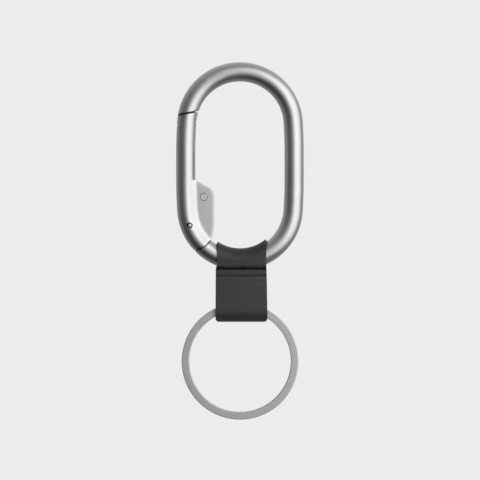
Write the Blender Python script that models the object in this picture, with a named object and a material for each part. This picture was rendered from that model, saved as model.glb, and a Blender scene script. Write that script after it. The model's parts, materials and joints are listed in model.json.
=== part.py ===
"""Key organiser: a spring-gate clip, a leather strap on its lower end, and a split key ring.

Metres, +Z up. The clip hangs in the XZ plane and its front faces -Y. The origin is the inside
top of the bow, where a belt loop or a hook carries it. Outlines are lists of (x, z) points.
"""

import math

import bmesh
import bpy
from mathutils import Matrix, Vector

# Bow and gate: one oval of round bar, cut in two places.
BOW_WIDTH = 0.0330
BOW_HEIGHT = 0.0538
BAR_DIAMETER = 0.0050
SIDE_BULGE = 0.00023      # how far the sides stand out past the end arcs
SIDE_STRAIGHT = 0.0083    # straight length in the middle of each side
BAR_SIDES = 24
BAR_STEP = 0.0013

# Nose: where the gate's tip meets the bow, on the upper left.
NOSE_TURN = math.radians(77.5)    # from the top middle, round the end arc
NOSE_SLANT = math.radians(10.8)   # the cut rises towards the inside
NOSE_GAP = 0.0005
NOSE_TONGUE_THICK = 0.0016
NOSE_TONGUE_DEEP = 0.0022
NOSE_TONGUE_SHARE = 0.9           # of the bar's width, from the outside
NOSE_SLOT_ROOM = 0.0006           # past the tongue's end, for its swing

# Hinge: a lug on the bow between the gate's cheeks, on a cross pin.
PIVOT_TURN = math.radians(70)     # from the bottom middle, round the end arc
PIVOT_DIAMETER = 0.00145
JOINT_RADIUS = 0.0066             # of the curved cut between gate and bow, round the pivot
JOINT_GAP = 0.00026
LUG_THICK = 0.0014
LUG_EYE_RADIUS = 0.0017
LUG_SHOULDER_RADIUS = 0.00235     # where it leaves the bow, so that no light shows through
LUG_NECK_RADIUS = 0.0012
LUG_REACH = 0.0085                # along the bar, from the pivot into the bow
CAM_HEIGHT = 0.00175              # of the lug's flat cam face, from the pivot
CAM_WIDTH = 0.0028
GATE_OPEN = math.radians(28)

# Thumb fin on the gate's inner side.
FIN_REACH = 0.00726       # from the bar's centreline to the fin's edge
FIN_THICK = 0.0030
FIN_BEVEL = 0.0005
FIN_TOP = 0.0117          # above the pivot, where the fin leaves the bar
FIN_TOP_TURN = math.radians(72)   # where its corner starts, from the inside
FIN_CORNER_RADIUS = 0.0021
FIN_CORNER_RISE = 0.0078  # of the corner's centre above the pivot
FIN_FOOT_RADIUS = 0.0105
FIN_FOOT_START = 0.0006   # above the pivot

# Spring, its plunger and its cross pin, inside the fin.
SEAT_PIN_DIAMETER = 0.0020
SEAT_PIN_RISE = 0.00735   # above the pivot
SEAT_PIN_INSET = 0.0026   # from the fin's edge
SPRING_DIAMETER = 0.0015
SPRING_WIRE = 0.00025
SPRING_TURNS = 4.5
PLUNGER_DIAMETER = 0.0012
PLUNGER_HEAD = 0.0015
PLUNGER_LENGTH = 0.0022
PLUNGER_HEAD_LENGTH = 0.0006
CAM_LEVER = 0.0015        # of the plunger's line past the pivot

# Strap: one leather band, over the bow, round the key ring and back up.
STRAP_WIDTH = 0.0130
STRAP_SHIFT = 0.00045     # it hangs a little to the right
LEATHER = 0.0006
PANEL_THICK = 0.0060
STRAP_DROP = 0.01286      # from the bow's bar to the middle of the lower fold
FLAP_TOP_DROP = 0.00225   # of the front flap's top edge, under the bar's centre
STRAP_SWING = math.radians(45)
LINING = 0.0007
TAIL_END_RISE = 0.0029    # of the tucked-in end, above the lower fold's middle
STRAP_STATIONS = 17

# Concealed post and its screw, which close the strap.
POST_DROP = 0.0073        # under the bar's centre
POST_DIAMETER = 0.0024
POST_FLANGE = 0.0040
POST_FLANGE_THICK = 0.0003
POST_END = 0.0016         # how far behind the middle the post's barrel reaches
SCREW_DIAMETER = 0.0014
SCREW_HEAD = 0.0042
SCREW_HEAD_THICK = 0.0006
SCREW_SLOT_WIDTH = 0.0006
SCREW_SLOT_DEEP = 0.00025

# Key ring: a split ring of flat wire, two coils thick.
RING_DIAMETER = 0.0301
RING_WIRE_WIDE = 0.0019
RING_WIRE_THICK = 0.0010
RING_WIRE_BEVEL = 0.00015
RING_CROSSING = math.radians(12)  # half the arc in which the wire changes coil
RING_STEPS = 60                   # round one turn

# Clearances.
RUNNING = 0.00010         # turning and sliding fits, and loose layers
PIN_FIT = 0.00005         # pins in their holes
LAYER_GAP = 0.00005       # between bonded layers
BAR_TO_STRAP = 0.00010
RING_TO_FOLD = 0.00015

# What follows from the sizes above.
BAR_R = BAR_DIAMETER / 2
HALF_W = BOW_WIDTH / 2 - BAR_R
HALF_H = BOW_HEIGHT / 2 - BAR_R
BOW_Z = BAR_DIAMETER - BOW_HEIGHT / 2
END_R = HALF_W - SIDE_BULGE
SHOULDER_RISE = HALF_H - END_R - SIDE_STRAIGHT / 2
SHOULDER_R = (HALF_W**2 - END_R**2 + SHOULDER_RISE**2) / (2 * SIDE_BULGE)
SHOULDER_TURN = math.atan2(SHOULDER_RISE, SHOULDER_R - HALF_W)
END_TURN = math.pi / 2 - SHOULDER_TURN
END_ARC = END_R * END_TURN
SHOULDER_ARC = SHOULDER_R * SHOULDER_TURN
QUARTERS = [
    (END_ARC, 1 / END_R),
    (SHOULDER_ARC, 1 / SHOULDER_R),
    (SIDE_STRAIGHT, 0),
    (SHOULDER_ARC, 1 / SHOULDER_R),
    (END_ARC, 1 / END_R),
] * 2
BOW_LENGTH = sum(length for length, _ in QUARTERS)
NOSE_AT = END_R * NOSE_TURN
PIVOT_AT = BOW_LENGTH / 2 - END_R * PIVOT_TURN
JOINT_AT = PIVOT_AT + JOINT_RADIUS
LOWER_BAR_Z = BOW_Z - HALF_H
FOLD_Z = LOWER_BAR_Z - STRAP_DROP
FOLD_R = PANEL_THICK / 2
FOLD_INNER_R = FOLD_R - LEATHER
STRAP_X = (STRAP_SHIFT - STRAP_WIDTH / 2, STRAP_SHIFT + STRAP_WIDTH / 2)
POST_Z = LOWER_BAR_Z - POST_DROP
LINING_FRONT = -FOLD_INNER_R + LAYER_GAP
LINING_BACK = LINING_FRONT + LINING
TAIL_FRONT = LINING_BACK + LAYER_GAP
TAIL_BACK = TAIL_FRONT + LEATHER
CORE_BACK = FOLD_INNER_R - LAYER_GAP
RING_R = RING_DIAMETER / 2
RING_INNER_R = RING_R - RING_WIRE_WIDE
RING_HALF_THICK = RING_WIRE_THICK + RUNNING / 2
# The ring's inner edge rests in the fold at the strap's farther edge.
RING_REST = FOLD_INNER_R - RING_TO_FOLD
RING_REST_DROP = math.sqrt(RING_REST**2 - RING_HALF_THICK**2)
RING_Z = FOLD_Z - RING_REST_DROP - math.sqrt(RING_INNER_R**2 - max(map(abs, STRAP_X))**2)
INSIDE_TOP_Z = max(FOLD_Z + FOLD_INNER_R, RING_Z + RING_R) + RUNNING

MATERIALS = {
    "satin_steel": ((0.42, 0.42, 0.41), 1.0, 0.38),
    "pin_steel": ((0.55, 0.55, 0.54), 1.0, 0.25),
    "spring_steel": ((0.35, 0.35, 0.36), 1.0, 0.3),
    "ring_steel": ((0.40, 0.40, 0.39), 1.0, 0.35),
    "black_leather": ((0.035, 0.035, 0.036), 0.0, 0.6),
    "strap_board": ((0.06, 0.05, 0.045), 0.0, 0.8),
}


def material(name, label):
    """One Principled material for one piece, in the finish of that name."""
    colour, metallic, roughness = MATERIALS[name]
    mat = bpy.data.materials.new(f"{label}_{name}")
    mat.use_nodes = True
    shader = mat.node_tree.nodes["Principled BSDF"]
    shader.inputs["Base Color"].default_value = (*colour, 1)
    shader.inputs["Metallic"].default_value = metallic
    shader.inputs["Roughness"].default_value = roughness
    return mat


def add_object(name, bm, finish=None):
    """A mesh object from a bmesh: a piece if it has a finish, otherwise a cutter or a guide."""
    bmesh.ops.recalc_face_normals(bm, faces=bm.faces)
    mesh = bpy.data.meshes.new(name)
    bm.to_mesh(mesh)
    bm.free()
    ob = bpy.data.objects.new(name, mesh)
    bpy.context.scene.collection.objects.link(ob)
    if finish:
        mesh.materials.append(material(finish, name))
        mesh.shade_smooth()
        mesh.set_sharp_from_angle(angle=math.radians(35))
    else:
        ob.hide_render = True
        ob.display_type = "WIRE"
    return ob


def boolean(ob, operation, tool):
    """Add one Boolean step to a piece."""
    step = ob.modifiers.new(tool.name, "BOOLEAN")
    step.operation = operation
    step.object = tool
    step.solver = "EXACT"
    tool.parent = ob


def hang_on(joint, place, pieces):
    """An empty on a joint's axis, with the pieces that move on it as its children."""
    empty = bpy.data.objects.new(joint, None)
    empty.location = place
    empty.empty_display_size = BAR_DIAMETER
    bpy.context.scene.collection.objects.link(empty)
    for piece in pieces:
        piece.parent = empty
        piece.matrix_parent_inverse = Matrix.Translation(place).inverted()
    return empty


def loft(rings, close_ends=True, close_loop=True):
    """A bmesh skin over rings of points, all with the same count."""
    bm = bmesh.new()
    rows = [[bm.verts.new(point) for point in ring] for ring in rings]
    count = len(rows[0])
    sides = count if close_loop else count - 1
    for row, after in zip(rows, rows[1:]):
        for i in range(sides):
            j = (i + 1) % count
            bm.faces.new((row[i], row[j], after[j], after[i]))
    if close_ends:
        bm.faces.new(rows[0][::-1])
        bm.faces.new(rows[-1])
    return bm


def prism(outline, y_front, y_back):
    """A bmesh of an (x, z) outline extruded along Y."""
    return loft([[(x, y, z) for x, z in outline] for y in (y_front, y_back)])


def hull_prism(outline, y_front, y_back):
    """Like prism, round the convex hull of the points."""
    bm = bmesh.new()
    for x, z in outline:
        bm.verts.new((x, y_front, z))
        bm.verts.new((x, y_back, z))
    made = bmesh.ops.convex_hull(bm, input=bm.verts[:])
    bmesh.ops.delete(bm, geom=made["geom_interior"], context="VERTS")
    flat = math.radians(0.5)
    bmesh.ops.dissolve_limit(bm, angle_limit=flat, verts=bm.verts[:], edges=bm.edges[:])
    return bm


def rod(start, end, radius, sides=24, end_bevel=0.0):
    """A bmesh cylinder from one point to another, with chamfered ends if asked."""
    start, end = Vector(start), Vector(end)
    along = (end - start).normalized()
    turn = along.to_track_quat("Z", "Y").to_matrix()
    length = (end - start).length
    profile = [(0.0, radius), (length, radius)]
    if end_bevel:
        inner = radius - end_bevel
        profile = [(0.0, inner), (end_bevel, radius), (length - end_bevel, radius), (length, inner)]
    rings = []
    for height, r in profile:
        ring = []
        for i in range(sides):
            angle = 2 * math.pi * (i + 0.5) / sides
            ring.append(start + turn @ Vector((r * math.cos(angle), r * math.sin(angle), height)))
        rings.append(ring)
    return loft(rings)


def arc(centre, radius, start, end, count):
    """(x, z) points of an arc, ends included, angles from +X towards +Z."""
    points = []
    for i in range(count + 1):
        angle = start + (end - start) * i / count
        points.append((centre[0] + radius * math.cos(angle), centre[1] + radius * math.sin(angle)))
    return points


def turned(point, centre, angle):
    """An (x, z) point turned about a centre."""
    dx, dz = point[0] - centre[0], point[1] - centre[1]
    cos, sin = math.cos(angle), math.sin(angle)
    return (centre[0] + dx * cos - dz * sin, centre[1] + dx * sin + dz * cos)


def bow_at(distance):
    """Centreline point and heading, this far from the top middle, left side first."""
    x, z, heading = 0.0, BOW_Z + HALF_H, math.pi
    left = distance
    for length, bend in QUARTERS * 2:
        run = min(left, length)
        if bend:
            after = heading + bend * run
            x += (math.sin(after) - math.sin(heading)) / bend
            z -= (math.cos(after) - math.cos(heading)) / bend
            heading = after
        else:
            x += run * math.cos(heading)
            z += run * math.sin(heading)
        left -= run
        if left <= 0:
            break
    return (x, z), heading


def bar_along_bow(start, end):
    """The round bar between two distances along the bow's centreline."""
    count = round((end - start) / BAR_STEP)
    rings = []
    for i in range(count + 1):
        (x, z), heading = bow_at(start + (end - start) * i / count)
        out = (math.sin(heading), -math.cos(heading))
        ring = []
        for k in range(BAR_SIDES):
            angle = 2 * math.pi * k / BAR_SIDES
            r = BAR_R * math.cos(angle)
            ring.append((x + out[0] * r, BAR_R * math.sin(angle), z + out[1] * r))
        rings.append(ring)
    return loft(rings)


# Places on the bow that the gate, its hinge and its spring share.
PIVOT, _ = bow_at(PIVOT_AT)
NOSE, _ = bow_at(NOSE_AT)
LUG_ROOT, _ = bow_at(PIVOT_AT + LUG_REACH)
LUG_SHOULDER, _ = bow_at(PIVOT_AT + JOINT_RADIUS)
FIN_EDGE_X = -HALF_W + FIN_REACH
SEAT_PIN = (FIN_EDGE_X - SEAT_PIN_INSET, PIVOT[1] + SEAT_PIN_RISE)

# The plunger's line runs from the seat pin past the pivot, on its inner side.
TO_PIVOT = Vector((PIVOT[0] - SEAT_PIN[0], PIVOT[1] - SEAT_PIN[1]))
LINE_ANGLE = math.atan2(TO_PIVOT.y, TO_PIVOT.x) + math.asin(CAM_LEVER / TO_PIVOT.length)
LINE = (math.cos(LINE_ANGLE), math.sin(LINE_ANGLE))
LINE_TO_CAM = math.sqrt(TO_PIVOT.length**2 - CAM_LEVER**2) - CAM_HEIGHT
TIP_R = PLUNGER_DIAMETER / 2


def on_line(distance, y=0.0):
    """A 3D point on the plunger's line, this far from the seat pin."""
    return (SEAT_PIN[0] + LINE[0] * distance, y, SEAT_PIN[1] + LINE[1] * distance)


def nose_point(along, down):
    """An (x, z) point along the nose's slanted cut, and down from it towards the gate."""
    cos, sin = math.cos(NOSE_SLANT), math.sin(NOSE_SLANT)
    return (NOSE[0] + along * cos + down * sin, NOSE[1] + along * sin - down * cos)


def nose_region(along, down):
    """The (x, z) outline between two distances along and two distances down the cut."""
    a0, a1 = along
    d0, d1 = down
    return [nose_point(a0, d0), nose_point(a1, d0), nose_point(a1, d1), nose_point(a0, d1)]


def lug_outline(room):
    """Points round the hinge lug: eye, shoulder, neck in the bow, and flat cam corner."""
    points = arc(PIVOT, LUG_EYE_RADIUS + room, 0, 2 * math.pi, 32)
    points += arc(LUG_SHOULDER, LUG_SHOULDER_RADIUS + room, 0, 2 * math.pi, 32)
    points += arc(LUG_ROOT, LUG_NECK_RADIUS + room, 0, 2 * math.pi, 32)
    up = (-LINE[0], -LINE[1])
    side = (up[1], -up[0])
    high, wide = CAM_HEIGHT + room, CAM_WIDTH + room
    for across in (0.0, wide):
        points.append((
            PIVOT[0] + side[0] * across + up[0] * high,
            PIVOT[1] + side[1] * across + up[1] * high,
        ))
    return points


def through(place, radius, sides=24, y_front=-BAR_DIAMETER, y_back=BAR_DIAMETER, bevel=0.0):
    """A bmesh cylinder along Y at an (x, z) place."""
    x, z = place
    return rod((x, y_front, z), (x, y_back, z), radius, sides, bevel)


def nose_reach():
    """How far along the slanted cut the nose's tongue goes, from the bar's middle."""
    skew = NOSE_SLANT + math.pi / 2 - NOSE_TURN
    return BAR_R / math.cos(skew) * (2 * NOSE_TONGUE_SHARE - 1)


def make_bow_frame():
    """The open oval of bar, with a tongue at its nose and the hinge lug at its other end."""
    start = JOINT_AT - 0.4 * JOINT_RADIUS
    end = BOW_LENGTH + NOSE_AT + NOSE_TONGUE_DEEP + BAR_R
    frame = add_object("bow_frame", bar_along_bow(start, end), "satin_steel")

    bow_end = through(PIVOT, JOINT_RADIUS + JOINT_GAP / 2, sides=72)
    boolean(frame, "DIFFERENCE", add_object("cut_bow_end", bow_end))
    lug = hull_prism(lug_outline(0), -LUG_THICK / 2, LUG_THICK / 2)
    boolean(frame, "UNION", add_object("guide_lug", lug))
    eye = through(PIVOT, PIVOT_DIAMETER / 2 + RUNNING)
    boolean(frame, "DIFFERENCE", add_object("cut_lug_eye", eye))

    far = 1.5 * BAR_DIAMETER
    half = NOSE_TONGUE_THICK / 2
    beside_tongue = [(-far, -half), (-far, -far), (far, -far), (far, far), (-far, far), (-far, half)]
    beside_tongue += [(nose_reach(), half), (nose_reach(), -half)]
    rings = []
    for down in (-NOSE_GAP / 2, far):
        ring = []
        for along, y in beside_tongue:
            x, z = nose_point(along, down)
            ring.append((x, y, z))
        rings.append(ring)
    boolean(frame, "DIFFERENCE", add_object("cut_beside_tongue", loft(rings)))
    past_tongue = nose_region((-2 * far, 2 * far), (NOSE_TONGUE_DEEP, 2 * far))
    cutter = prism(past_tongue, -far, far)
    boolean(frame, "DIFFERENCE", add_object("cut_past_tongue", cutter))
    return frame


def fin_outline():
    """The thumb fin's outline, closed along the bar's centreline."""
    top = PIVOT[1] + FIN_TOP
    corner = (FIN_EDGE_X - FIN_CORNER_RADIUS, PIVOT[1] + FIN_CORNER_RISE)
    foot = (FIN_EDGE_X - FIN_FOOT_RADIUS, PIVOT[1] + FIN_FOOT_START)
    outline = [(-HALF_W, top), (-HALF_W + BAR_R, top)]
    outline += arc(corner, FIN_CORNER_RADIUS, FIN_TOP_TURN, 0, 8)
    outline += arc(foot, FIN_FOOT_RADIUS, 0, -math.asin(BAR_DIAMETER / FIN_FOOT_RADIUS), 6)
    for share in (1.0, 0.5, 0.0):
        outline.append(bow_at(PIVOT_AT + JOINT_RADIUS * share)[0])
    outline.append(bow_at(PIVOT_AT - FIN_TOP / 2)[0])
    return outline


def make_gate():
    """The gate's bar with its thumb fin, slotted for the nose's tongue and for the lug."""
    bar = bar_along_bow(NOSE_AT - BAR_R, JOINT_AT + 0.4 * JOINT_RADIUS)
    gate = add_object("gate", bar, "satin_steel")

    fin = add_object("guide_fin", prism(fin_outline(), -FIN_THICK / 2, FIN_THICK / 2))
    edge = fin.modifiers.new("rounded_edge", "BEVEL")
    edge.width = FIN_BEVEL
    edge.segments = 2
    edge.limit_method = "ANGLE"
    edge.angle_limit = math.radians(60)
    boolean(gate, "UNION", fin)

    inner_end, outer_end = math.radians(-22), math.radians(-150)
    beyond = arc(PIVOT, JOINT_RADIUS - JOINT_GAP / 2, inner_end, outer_end, 32)
    beyond += arc(PIVOT, JOINT_RADIUS + BAR_DIAMETER, outer_end, inner_end, 8)
    far = 1.5 * BAR_DIAMETER
    boolean(gate, "DIFFERENCE", add_object("cut_gate_end", prism(beyond, -far, far)))

    swept = []
    for step in range(5):
        angle = GATE_OPEN * step / 4
        swept += [turned(point, PIVOT, angle) for point in lug_outline(RUNNING)]
    half = LUG_THICK / 2 + RUNNING
    boolean(gate, "DIFFERENCE", add_object("cut_lug_slot", hull_prism(swept, -half, half)))

    above = prism(nose_region((-far, far), (-far, NOSE_GAP / 2)), -far, far)
    boolean(gate, "DIFFERENCE", add_object("cut_gate_tip", above))
    half = NOSE_TONGUE_THICK / 2 + RUNNING
    deep = NOSE_TONGUE_DEEP + NOSE_SLOT_ROOM
    slot = prism(nose_region((-far, nose_reach() + RUNNING), (-NOSE_GAP, deep)), -half, half)
    boolean(gate, "DIFFERENCE", add_object("cut_tongue_slot", slot))

    bore = rod(on_line(0), on_line(LINE_TO_CAM), SPRING_DIAMETER / 2 + RUNNING)
    boolean(gate, "DIFFERENCE", add_object("cut_spring_bore", bore))
    for name, place, diameter in (
        ("cut_pivot_hole", PIVOT, PIVOT_DIAMETER),
        ("cut_seat_pin_hole", SEAT_PIN, SEAT_PIN_DIAMETER),
    ):
        hole = through(place, diameter / 2 + PIN_FIT)
        boolean(gate, "DIFFERENCE", add_object(name, hole))
    return gate


def make_pins():
    """The hinge pin across the bar, and the cross pin that seats the spring in the fin."""
    reach = BAR_R - PIN_FIT
    pivot = through(PIVOT, PIVOT_DIAMETER / 2, 24, -reach, reach, PIN_FIT * 3)
    reach = FIN_THICK / 2
    seat = through(SEAT_PIN, SEAT_PIN_DIAMETER / 2, 24, -reach, reach, PIN_FIT)
    return [
        add_object("gate_pivot_pin", pivot, "pin_steel"),
        add_object("spring_seat_pin", seat, "pin_steel"),
    ]


PLUNGER_TIP_AT = LINE_TO_CAM - RUNNING / 2
PLUNGER_TOP_AT = PLUNGER_TIP_AT - PLUNGER_LENGTH


def turned_on_line(profile, sides=16):
    """A bmesh turned about the plunger's line from (distance, radius) pairs."""
    rings = []
    for distance, radius in profile:
        x, _, z = on_line(distance)
        ring = []
        for i in range(sides):
            angle = 2 * math.pi * i / sides
            across = radius * math.cos(angle)
            ring.append((x - LINE[1] * across, radius * math.sin(angle), z + LINE[0] * across))
        rings.append(ring)
    return loft(rings)


def make_plunger():
    """The headed pin that the spring presses onto the lug's cam face."""
    neck = PLUNGER_TOP_AT + PLUNGER_HEAD_LENGTH
    profile = [(PLUNGER_TOP_AT, PLUNGER_HEAD / 2), (neck, PLUNGER_HEAD / 2), (neck, TIP_R)]
    for step in range(5):
        angle = math.radians(80) * step / 4
        distance = PLUNGER_TIP_AT - TIP_R + TIP_R * math.sin(angle)
        profile.append((distance, TIP_R * math.cos(angle)))
    return add_object("gate_plunger", turned_on_line(profile), "pin_steel")


def make_spring():
    """A coil of wire on the plunger's line, from the seat pin to the plunger's head."""
    wire = SPRING_WIRE / 2
    start = SEAT_PIN_DIAMETER / 2 + RUNNING + wire
    end = PLUNGER_TOP_AT - RUNNING - wire
    middle = SPRING_DIAMETER / 2 - wire
    steps = round(SPRING_TURNS * 14)
    rings = []
    for i in range(steps + 1):
        share = i / steps
        angle = 2 * math.pi * SPRING_TURNS * share
        x, _, z = on_line(start + (end - start) * share)
        ring = []
        for k in range(6):
            turn = 2 * math.pi * k / 6
            across = (middle + wire * math.cos(turn)) * math.cos(angle)
            y = (middle + wire * math.cos(turn)) * math.sin(angle)
            along = wire * math.sin(turn)
            ring.append((
                x - LINE[1] * across + LINE[0] * along,
                y,
                z + LINE[0] * across + LINE[1] * along,
            ))
        rings.append(ring)
    return add_object("gate_spring", loft(rings), "spring_steel")


def bar_reach(x, direction):
    """How far the bow's bar reaches across the strap at x, over the strap's whole swing.

    The direction is an angle in the YZ plane from +Y, seen from the strap.
    """
    outer = math.sqrt((END_R + BAR_R)**2 - x**2)
    inner = math.sqrt((END_R - BAR_R)**2 - x**2)
    rise = END_R - (outer + inner) / 2
    tall = (outer - inner) / 2
    reach = []
    for step in range(25):
        swing = STRAP_SWING * (step / 12 - 1)
        lengthwise = math.cos(direction - math.pi / 2 + swing)
        crosswise = math.sin(direction - math.pi / 2 + swing)
        reach.append(rise * lengthwise + math.hypot(tall * lengthwise, BAR_R * crosswise))
    return max(reach)


def loop_points(x, room):
    """(y, z) points of the strap's loop round the bar at x, from its back over its top."""
    step = math.radians(15)
    directions = [math.radians(-30) + step * i for i in range(19)]
    reach = [bar_reach(x, direction) + room for direction in directions]
    points = []
    for i in range(len(directions) - 1):
        a, b = directions[i], directions[i + 1]
        across = (reach[i] * math.sin(b) - reach[i + 1] * math.sin(a)) / math.sin(b - a)
        up = (reach[i + 1] * math.cos(a) - reach[i] * math.cos(b)) / math.sin(b - a)
        points.append((across, LOWER_BAR_Z + up))
    return points


def strap_section(x):
    """The band's outer and inner (y, z) points at x, from the front flap's top to its tail."""
    flap_top = LOWER_BAR_Z - FLAP_TOP_DROP
    panel_top = LOWER_BAR_Z - 1.5 * PANEL_THICK / 2
    outer = [(-FOLD_R, flap_top), (-FOLD_R, POST_Z)]
    inner = [(-FOLD_INNER_R, flap_top), (-FOLD_INNER_R, POST_Z)]
    for i in range(13):
        angle = math.pi * (1 + i / 12)
        cos, sin = math.cos(angle), math.sin(angle)
        outer.append((FOLD_R * cos, FOLD_Z + FOLD_R * sin))
        inner.append((FOLD_INNER_R * cos, FOLD_Z + FOLD_INNER_R * sin))
    outer.append((FOLD_R, panel_top))
    inner.append((FOLD_INNER_R, panel_top))
    outer += loop_points(x, BAR_TO_STRAP + LEATHER)
    inner += loop_points(x, BAR_TO_STRAP)
    bend = LOWER_BAR_Z - BAR_R - LEATHER
    outer += [(TAIL_FRONT, bend - 0.25 * LEATHER), (TAIL_FRONT, FOLD_Z + TAIL_END_RISE)]
    inner += [(TAIL_BACK, bend + 0.55 * LEATHER), (TAIL_BACK, FOLD_Z + TAIL_END_RISE)]
    return outer, inner


def make_strap():
    """The leather band, its two ends overlapping at the front under the bow."""
    rings = []
    for i in range(STRAP_STATIONS):
        x = STRAP_X[0] + STRAP_WIDTH * i / (STRAP_STATIONS - 1)
        outer, inner = strap_section(x)
        rings.append([(x, y, z) for y, z in outer + inner[::-1]])
    bm = loft(rings, close_ends=False)
    bm.verts.ensure_lookup_table()
    count = len(rings[0])
    for first in (0, count * (STRAP_STATIONS - 1)):
        for i in range(count // 2 - 1):
            corners = (i, i + 1, count - 2 - i, count - 1 - i)
            bm.faces.new([bm.verts[first + k] for k in corners])
    strap = add_object("strap_outer", bm, "black_leather")

    for name, radius, y_front, y_back in (
        ("cut_tail_hole", POST_DIAMETER / 2, TAIL_FRONT - LAYER_GAP / 2, TAIL_BACK + RUNNING),
        ("cut_back_hole", SCREW_DIAMETER / 2, CORE_BACK, FOLD_R + RUNNING),
    ):
        hole = through((STRAP_SHIFT, POST_Z), radius + RUNNING, 24, y_front, y_back)
        boolean(strap, "DIFFERENCE", add_object(name, hole))
    return strap


def board(name, y_front, y_back, top, finish):
    """A flat filler between the strap's layers, bored for the post."""
    inset = LAYER_GAP * 4
    outline = [
        (STRAP_X[0] + inset, INSIDE_TOP_Z),
        (STRAP_X[1] - inset, INSIDE_TOP_Z),
        (STRAP_X[1] - inset, top),
        (STRAP_X[0] + inset, top),
    ]
    piece = add_object(name, prism(outline, y_front, y_back), finish)
    hole = through((STRAP_SHIFT, POST_Z), POST_DIAMETER / 2 + RUNNING)
    boolean(piece, "DIFFERENCE", add_object(f"cut_{name}_hole", hole))
    return piece


def make_strap_filling():
    """The lining behind the front flap, with a seat for the post's flange, and the core."""
    top = LOWER_BAR_Z - BAR_R
    lining_top = top - 1.5 * LEATHER
    core_top = top - LEATHER / 2
    lining = board("flap_lining", LINING_FRONT, LINING_BACK, lining_top, "strap_board")
    seat_back = LINING_FRONT + POST_FLANGE_THICK + LAYER_GAP
    seat = through((STRAP_SHIFT, POST_Z), POST_FLANGE / 2 + RUNNING, 32, -FOLD_R, seat_back)
    boolean(lining, "DIFFERENCE", add_object("cut_flange_seat", seat))
    core = board("strap_core", TAIL_BACK + LAYER_GAP, CORE_BACK, core_top, "strap_board")
    return [lining, core]


def turned_on_y(profile, sides=32):
    """A bmesh turned about the post's axis from (y, radius) pairs."""
    rings = []
    for y, radius in profile:
        ring = []
        for i in range(sides):
            angle = 2 * math.pi * i / sides
            x = STRAP_SHIFT + radius * math.cos(angle)
            ring.append((x, y, POST_Z + radius * math.sin(angle)))
        rings.append(ring)
    return loft(rings)


def make_post_and_screw():
    """The blind post, its flange under the front flap, and the screw from the back."""
    flange_back = LINING_FRONT + POST_FLANGE_THICK
    bore = SCREW_DIAMETER / 2 + PIN_FIT
    bore_end = flange_back + POST_FLANGE_THICK
    post = turned_on_y([
        (LINING_FRONT, POST_FLANGE / 2),
        (flange_back, POST_FLANGE / 2),
        (flange_back, POST_DIAMETER / 2),
        (POST_END, POST_DIAMETER / 2),
        (POST_END, bore),
        (bore_end, bore),
    ])
    seat = FOLD_R + LAYER_GAP
    top = seat + SCREW_HEAD_THICK
    screw = turned_on_y([
        (bore_end + RUNNING, SCREW_DIAMETER / 2),
        (seat, SCREW_DIAMETER / 2),
        (seat, SCREW_HEAD / 2),
        (top - SCREW_SLOT_DEEP / 2, SCREW_HEAD / 2),
        (top, SCREW_HEAD / 2 - SCREW_SLOT_DEEP / 2),
    ])
    pieces = [
        add_object("strap_post", post, "pin_steel"),
        add_object("strap_screw", screw, "pin_steel"),
    ]
    half_slot, half_head = SCREW_SLOT_WIDTH / 2, SCREW_HEAD
    outline = [
        (STRAP_SHIFT - half_head, POST_Z - half_slot),
        (STRAP_SHIFT + half_head, POST_Z - half_slot),
        (STRAP_SHIFT + half_head, POST_Z + half_slot),
        (STRAP_SHIFT - half_head, POST_Z + half_slot),
    ]
    slot = prism(outline, top - SCREW_SLOT_DEEP, top + SCREW_SLOT_DEEP)
    boolean(pieces[1], "DIFFERENCE", add_object("cut_screw_slot", slot))
    return pieces


def make_key_ring():
    """The split ring: one flat wire, twice round, changing coil at the top."""
    start_clear = RING_CROSSING + math.radians(2)
    first, last = start_clear, 4 * math.pi - start_clear
    offset = (RING_WIRE_THICK + RUNNING) / 2
    middle = RING_R - RING_WIRE_WIDE / 2
    half_wide, half_thick, cut = RING_WIRE_WIDE / 2, RING_WIRE_THICK / 2, RING_WIRE_BEVEL
    corners = []
    for side, face in ((1, 1), (-1, 1), (-1, -1), (1, -1)):
        flat = (side * (half_wide - cut), face * half_thick)
        edge = (side * half_wide, face * (half_thick - cut))
        corners += [edge, flat] if side == face else [flat, edge]
    steps = 2 * RING_STEPS
    rings = []
    for i in range(steps + 1):
        angle = first + (last - first) * i / steps
        share = (angle - 2 * math.pi + RING_CROSSING) / (2 * RING_CROSSING)
        share = min(max(share, 0.0), 1.0)
        y = offset * (2 * share * share * (3 - 2 * share) - 1)
        ring = []
        for across, thick in corners:
            r = middle + across
            ring.append((r * math.sin(angle), y + thick, RING_Z + r * math.cos(angle)))
        rings.append(ring)
    return add_object("key_ring", loft(rings), "ring_steel")


def main():
    """Clear the scene and make every piece, each on the joint that it moves with."""
    for ob in list(bpy.data.objects):
        bpy.data.objects.remove(ob)

    make_bow_frame()
    plunger = make_plunger()
    turning = [make_gate(), *make_pins(), make_spring()]
    gate_hinge = hang_on("gate_hinge", (PIVOT[0], 0, PIVOT[1]), turning)
    plunger_slide = hang_on("plunger_slide", on_line(PLUNGER_TIP_AT), [plunger])
    plunger_slide.parent = gate_hinge
    plunger_slide.matrix_parent_inverse = Matrix.Translation(gate_hinge.location).inverted()

    swinging = [make_strap(), *make_strap_filling(), *make_post_and_screw()]
    strap_swing = hang_on("strap_swing", (0, 0, LOWER_BAR_Z), swinging)
    ring_swing = hang_on("ring_swing", (0, 0, FOLD_Z), [make_key_ring()])
    ring_swing.parent = strap_swing
    ring_swing.matrix_parent_inverse = Matrix.Translation(strap_swing.location).inverted()


main()
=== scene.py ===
import json
import math

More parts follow.
